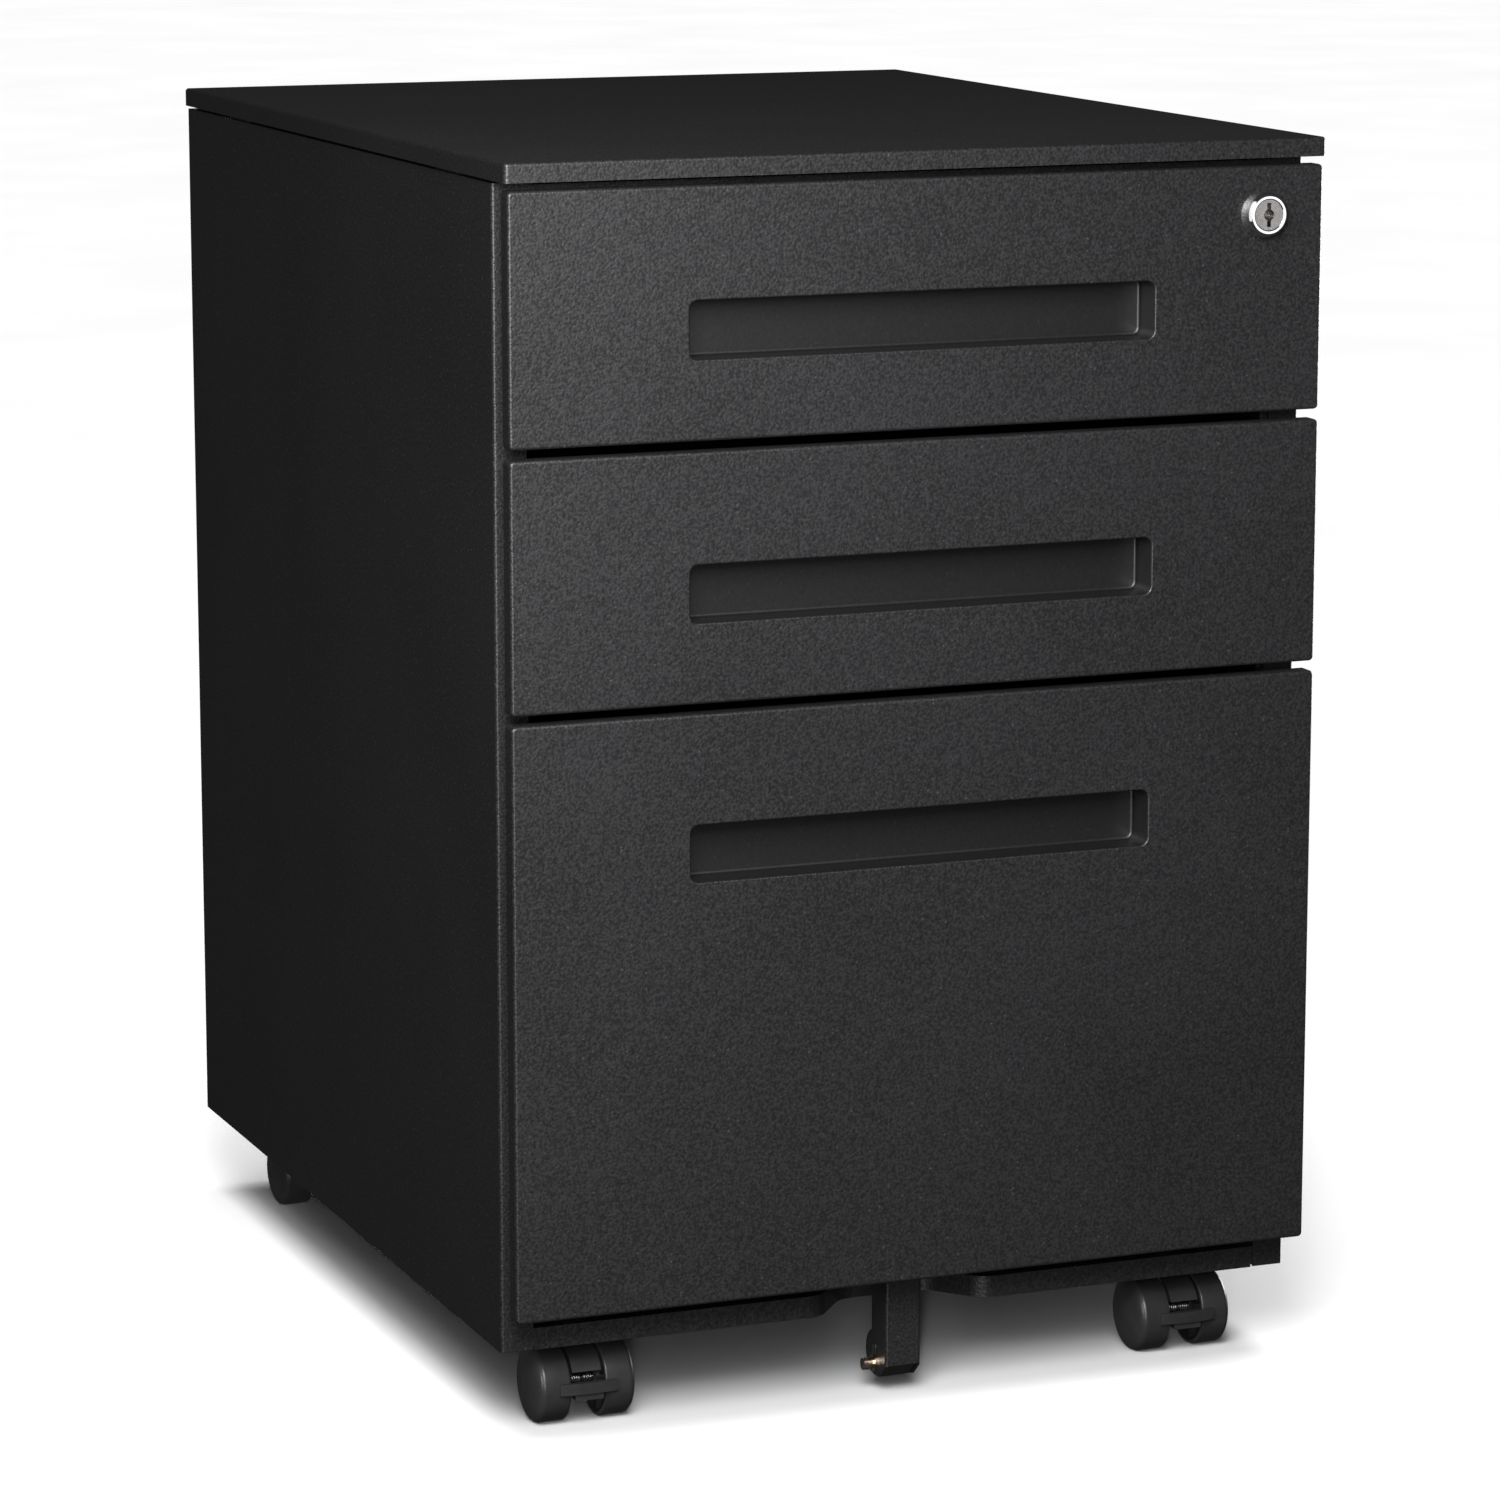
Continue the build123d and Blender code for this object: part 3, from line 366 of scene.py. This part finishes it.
def wheel_outline(width, radius):
    """Section of a wheel: hub and hollow on the inner side, plain tread, soft crease, domed outer side."""
    crease = (TREAD_WIDTH - CREASE_ROUND, radius)
    dome_start = (TREAD_WIDTH + CREASE_ROUND, radius - 0.35 * CREASE_ROUND)
    dome_pulls = ((TREAD_WIDTH + 0.0024, radius - 0.0009), (TREAD_WIDTH + 0.0037, radius - 0.0036))
    outline = [(width, 0.0), (width - WEB_THICKNESS, 0.0), (width - WEB_THICKNESS, BORE_RADIUS),
               (0.0, BORE_RADIUS), (0.0, HUB_RADIUS), (HOLLOW_DEPTH, HUB_RADIUS + HUB_DRAFT),
               (HOLLOW_DEPTH, HOLLOW_RADIUS), (0.0, RIM_RADIUS), (0.0, radius - EDGE_ROUND)]
    outline += curve_points((0.0, radius - EDGE_ROUND), (0.0, radius - 0.4 * EDGE_ROUND),
                            (0.4 * EDGE_ROUND, radius), (EDGE_ROUND, radius), 5)
    outline.append(crease)
    outline += curve_points(crease, (TREAD_WIDTH - 0.4 * CREASE_ROUND, radius),
                            (TREAD_WIDTH + 0.4 * CREASE_ROUND, radius - 0.1 * CREASE_ROUND), dome_start, 4)
    outline += curve_points(dome_start, *dome_pulls, (width - 0.0002, DISC_RADIUS), 18)
    outline.append((width, DISC_RADIUS * 0.5))
    return outline


def caster_wheel(node, outward):
    """Domed nylon wheel with six ribs in its hollow inner side. It stands for the CAD wheel."""
    low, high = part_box(node)
    centre = [(a + b) / 2 for a, b in zip(low, high)]
    centre[0] = low[0] if outward > 0 else high[0]
    outline = wheel_outline(high[0] - low[0], (high[1] - low[1]) / 2)
    wheel = lathe(node + "_turned", outline, centre, 0, outward)
    finish_piece(wheel, "black_nylon", node)
    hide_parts(node)
    for index in range(RIBS):
        rib = plank(f"{node}_rib_{index + 1}", (RIB_SETBACK, HOLLOW_DEPTH + RIB_SINK), (-RIB_HALF, RIB_HALF),
                    (HUB_RADIUS, RIM_RADIUS - RIB_RIM_GAP), centre, 2 * math.pi / RIBS * index, outward)
        rib.parent = wheel
        finish_piece(rib, "black_nylon")
    return wheel


def plank(name, along, across, out, centre, angle, outward):
    """Small bevelled bar in a wheel: spans along the axle, across, and away from it, turned by the angle."""
    work = bmesh.new()
    corners = []
    for x in along:
        for y in across:
            for z in out:
                turned_y = y * math.cos(angle) - z * math.sin(angle)
                turned_z = y * math.sin(angle) + z * math.cos(angle)
                place = (centre[0] + outward * x, centre[1] + turned_y, centre[2] + turned_z)
                corners.append(work.verts.new(place))
    bmesh.ops.convex_hull(work, input=corners)
    bmesh.ops.dissolve_limit(work, angle_limit=0.01, verts=work.verts, edges=work.edges)
    bmesh.ops.bevel(work, geom=list(work.edges), offset=RIB_BEVEL, segments=2, affect="EDGES")
    bmesh.ops.recalc_face_normals(work, faces=work.faces)
    mesh = bpy.data.meshes.new(name)
    work.to_mesh(mesh)
    work.free()
    return linked(name, mesh)


# Brake springs

SPRING_SETBACK = 0.0076
SPRING_RISE = 0.0028
PIN_HALF = 0.0060
PIN_RADIUS = 0.0010
COIL_STARTS = {"left": -0.0054, "right": 0.0006}
COIL_RADIUS = 0.0017
WIRE_RADIUS = 0.00042
COIL_TURNS = 4
COIL_PITCH = 0.0011
STEPS_PER_TURN = 24
WIRE_SIDES = 10


def coil(name, centre, body):
    """Round wire wound about an axis along X, starting at the centre."""
    steps = STEPS_PER_TURN * COIL_TURNS
    vertices, faces = [], []
    for step in range(steps + 1):
        angle = 2 * math.pi * step / STEPS_PER_TURN
        for side in range(WIRE_SIDES):
            turn = 2 * math.pi * side / WIRE_SIDES
            out = COIL_RADIUS + WIRE_RADIUS * math.cos(turn)
            along = COIL_PITCH * step / STEPS_PER_TURN + WIRE_RADIUS * math.sin(turn)
            vertices.append((centre[0] + along, centre[1] + out * math.cos(angle),
                             centre[2] + out * math.sin(angle)))
    for step in range(steps):
        for side in range(WIRE_SIDES):
            here = step * WIRE_SIDES + side
            beside = step * WIRE_SIDES + (side + 1) % WIRE_SIDES
            faces.append((here, beside, beside + WIRE_SIDES, here + WIRE_SIDES))
    for end in (0, steps):
        faces.append(tuple(end * WIRE_SIDES + side for side in range(WIRE_SIDES)))
    made = solid(name, vertices, faces, math.radians(50.0))
    finish_piece(made, "zinc_steel", body)


def brake_spring(corner):
    """Return spring of a brake: a pin between the hood's walls with a short coil at each end."""
    label = f"caster_front_{corner}"
    body = label + "_swivel"
    low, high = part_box(label + "_hood")
    axle_low, axle_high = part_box(label + "_axle")
    place = ((low[0] + high[0]) / 2, (axle_low[1] + axle_high[1]) / 2 - SPRING_SETBACK,
             (axle_low[2] + axle_high[2]) / 2 + SPRING_RISE)
    outline = [(-PIN_HALF, 0.0), (-PIN_HALF, PIN_RADIUS), (PIN_HALF, PIN_RADIUS), (PIN_HALF, 0.0)]
    pin = lathe(label + "_spring_pin", outline, place, 0, 1, 32)
    finish_piece(pin, "zinc_steel", body)
    for side, start in COIL_STARTS.items():
        coil(f"{label}_spring_{side}", (place[0] + start, place[1], place[2]), body)
    return pin


# Lock bezel

RING_RADIUS = 0.00915
RING_EDGE = 0.0005
BEZEL_BORE = 0.0073
BORE_CHAMFER = 0.0004
BEZEL_BARREL = 0.009
BEZEL_FOOT = 0.0006


def bezel_outline(stand, depth, base):
    """Section of the bezel: barrel behind the drawer's face, domed side, flat front ring."""
    dome_top = (stand - RING_EDGE / 2, RING_RADIUS)
    outline = [(-depth, BEZEL_BORE), (-depth, BEZEL_BARREL), (0.0, BEZEL_BARREL), (0.0, base - 0.0002),
               (0.0003, base), (BEZEL_FOOT, base)]
    outline += curve_points((BEZEL_FOOT, base), (BEZEL_FOOT + 0.0036, base - 0.0002),
                            (dome_top[0] - 0.0011, RING_RADIUS + 0.0012), dome_top, 16)
    outline += curve_points(dome_top, (stand, RING_RADIUS - 0.0001), (stand, RING_RADIUS - 0.0003),
                            (stand, RING_RADIUS - RING_EDGE), 4)
    outline += [(stand, BEZEL_BORE + BORE_CHAMFER), (stand - BORE_CHAMFER, BEZEL_BORE)]
    return outline


def lock_bezel(node, body):
    """Domed chrome bezel on the barrel that passes through the drawer front. It stands for the CAD housing."""
    low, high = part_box(node)
    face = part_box("drawer_1_front")[0][1]
    centre = ((low[0] + high[0]) / 2, face, (low[2] + high[2]) / 2)
    outline = bezel_outline(face - low[1], high[1] - face, (high[0] - low[0]) / 2)
    bezel = lathe(node + "_turned", outline, centre, 1, -1, 160)
    # The curved chrome throws no stray glints on the coat round it.
    bezel.visible_diffuse = False
    bezel.visible_glossy = False
    finish_piece(bezel, "chrome_trim", body)
    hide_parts(node)
    return bezel


CASTER_PIECES = []
for row in ("front", "rear"):
    for corner in ("left", "right"):
        for side, outward in (("left", -1), ("right", 1)):
            CASTER_PIECES.append(caster_wheel(f"caster_{row}_{corner}_wheel_{side}", outward))
for corner in ("left", "right"):
    CASTER_PIECES.append(brake_spring(corner))
LOCK_PIECES = [lock_bezel("lock_housing", "drawer_1"), NODES["lock_plug"]]


# Soft edges on the moulded hoods and the brake levers

MOULDED_EDGE = 0.0004


def soften(thing):
    bevel = thing.modifiers.new("soft_edges", "BEVEL")
    bevel.width = MOULDED_EDGE
    bevel.segments = 2
    bevel.limit_method = "ANGLE"
    bevel.angle_limit = math.radians(40.0)
    bevel.harden_normals = False


for node, thing in NODES.items():
    if "hood" in node or "brake_lever" in node:
        soften(thing)
        CASTER_PIECES.append(thing)


# Stage

FLOOR_SIZE = 60.0
WORLD_LIGHT = 0.035
BACKDROP = 1.0
FLOOR_SUN = 3.5
MIDDLE = (0.0, 0.0, 0.3)


def see_through_from_below(shader):
    """Lets the underside of the cabinet be seen through the floor."""
    side = shader.node("ShaderNodeNewGeometry")
    clear = shader.node("ShaderNodeBsdfTransparent")
    mix = shader.node("ShaderNodeMixShader")
    shader.join(side.outputs["Backfacing"], mix.inputs["Fac"])
    shader.join(shader.surface.outputs["BSDF"], mix.inputs[1])
    shader.join(clear.outputs["BSDF"], mix.inputs[2])
    shader.join(mix.outputs["Shader"], shader.output.inputs["Surface"])


def floor():
    """Pale floor that throws no light back on the cabinet."""
    bpy.ops.mesh.primitive_plane_add(size=FLOOR_SIZE, location=(0.0, 0.0, 0.0))
    plane = bpy.context.object
    plane.name = "floor"
    shader = Shader("floor_paint")
    cloud = shader.noise(3.0)
    shader.to("Base Color", shader.tint(cloud, (0.86, 0.86, 0.86), (0.90, 0.90, 0.90)))
    shader.set(Roughness=0.9, Specular_IOR_Level=0.1)
    see_through_from_below(shader)
    plane.data.materials.append(shader.material)
    plane.visible_diffuse = False
    plane.visible_glossy = False
    return plane


def world():
    """Dim surroundings for the cabinet, and a white backdrop behind it."""
    made = bpy.data.worlds.new("studio")
    bpy.context.scene.world = made
    made.use_nodes = True
    tree = made.node_tree
    tree.nodes.clear()
    output = tree.nodes.new("ShaderNodeOutputWorld")
    mix = tree.nodes.new("ShaderNodeMixShader")
    rays = tree.nodes.new("ShaderNodeLightPath")
    tree.links.new(rays.outputs["Is Camera Ray"], mix.inputs["Fac"])
    for socket, grey in ((1, WORLD_LIGHT), (2, BACKDROP)):
        shade = tree.nodes.new("ShaderNodeBackground")
        shade.inputs["Color"].default_value = (grey, grey, grey, 1.0)
        tree.links.new(shade.outputs["Background"], mix.inputs[socket])
    tree.links.new(mix.outputs["Shader"], output.inputs["Surface"])


def light_only(lamp, receivers):
    group = bpy.data.collections.new(lamp.name + "_receivers")
    for receiver in dict.fromkeys(receivers):
        group.objects.link(receiver)
    lamp.light_linking.receiver_collection = group


def softbox(name, place, target, size, power, receivers=None):
    """Rectangular lamp that looks at the target, and falls on the receivers alone if there are any."""
    lamp = bpy.data.lights.new(name, "AREA")
    lamp.shape = "RECTANGLE"
    lamp.size, lamp.size_y = size
    lamp.energy = power
    thing = linked(name, lamp)
    thing.location = place
    thing.rotation_euler = (Vector(target) - Vector(place)).to_track_quat("-Z", "Y").to_euler()
    if receivers:
        light_only(thing, receivers)


def overhead_sun(*receivers):
    """Even light from straight above that falls on the receivers alone."""
    lamp = bpy.data.lights.new("floor_sun", "SUN")
    lamp.energy = FLOOR_SUN
    lamp.angle = math.radians(50.0)
    light_only(linked("floor_sun", lamp), receivers)


def around(azimuth, elevation, distance, height=0.3):
    """Place at an azimuth from the front (positive to the right) and an elevation, in degrees."""
    a, e = math.radians(azimuth), math.radians(elevation)
    return (distance * math.sin(a) * math.cos(e), -distance * math.cos(a) * math.cos(e),
            height + distance * math.sin(e))


def by_lock(x, y, z):
    return LOCK_CENTRE + Vector((x, y, z))


stage_floor = floor()
world()
CABINET = list(NODES.values()) + CASTER_PIECES + LOCK_PIECES
# A near lamp at the upper left shades the fronts, and a tall strip lights their edges.
softbox("key", (-0.46, -1.05, 0.93), (-0.1, -0.25, 0.42), (0.6, 0.6), 20.0)
softbox("edge", around(-22.0, 8.0, 2.4), MIDDLE, (0.10, 1.3), 20.0)
softbox("caster_fill", around(-62.0, 10.0, 2.0, 0.05), (0.0, -0.1, 0.02), (0.3, 0.5), 10.0, CASTER_PIECES)
# Three cards that only the chrome and nickel of the lock reflect.
softbox("lock_left", by_lock(-0.77, -0.30, 0.20), LOCK_CENTRE, (0.9, 1.5), 4.5, LOCK_PIECES)
softbox("lock_dome", by_lock(-0.35, -0.90, 0.35), LOCK_CENTRE, (1.6, 1.6), 1.1, LOCK_PIECES)
softbox("lock_front", by_lock(0.34, -0.70, -0.09), LOCK_CENTRE, (0.22, 0.26), 0.26, LOCK_PIECES)
# Fills for the right side and the back, too low to reach the top panel.
softbox("right_fill", around(112.0, 0.0, 2.8), MIDDLE, (1.2, 0.5), 40.0, CABINET)
softbox("rear_fill", around(165.0, 0.0, 2.8), MIDDLE, (1.2, 0.5), 40.0, CABINET)
overhead_sun(stage_floor)


# Camera, 22 degrees to the left of the front, looking down by 11

CAMERA_PLACE = Vector((-1.0001, -2.5501, 0.7994))
CAMERA_YAW = 0.3783
CAMERA_PITCH = 0.1896
lens = bpy.data.cameras.new("camera")
lens.sensor_width = 36.0
lens.lens = 131.7
lens.clip_start, lens.clip_end = 0.05, 100.0
camera = linked("camera", lens)
camera.location = CAMERA_PLACE
camera.rotation_euler = (math.pi / 2 - CAMERA_PITCH, 0.0, -CAMERA_YAW)
bpy.context.scene.camera = camera
bpy.context.scene.view_settings.view_transform = "Standard"
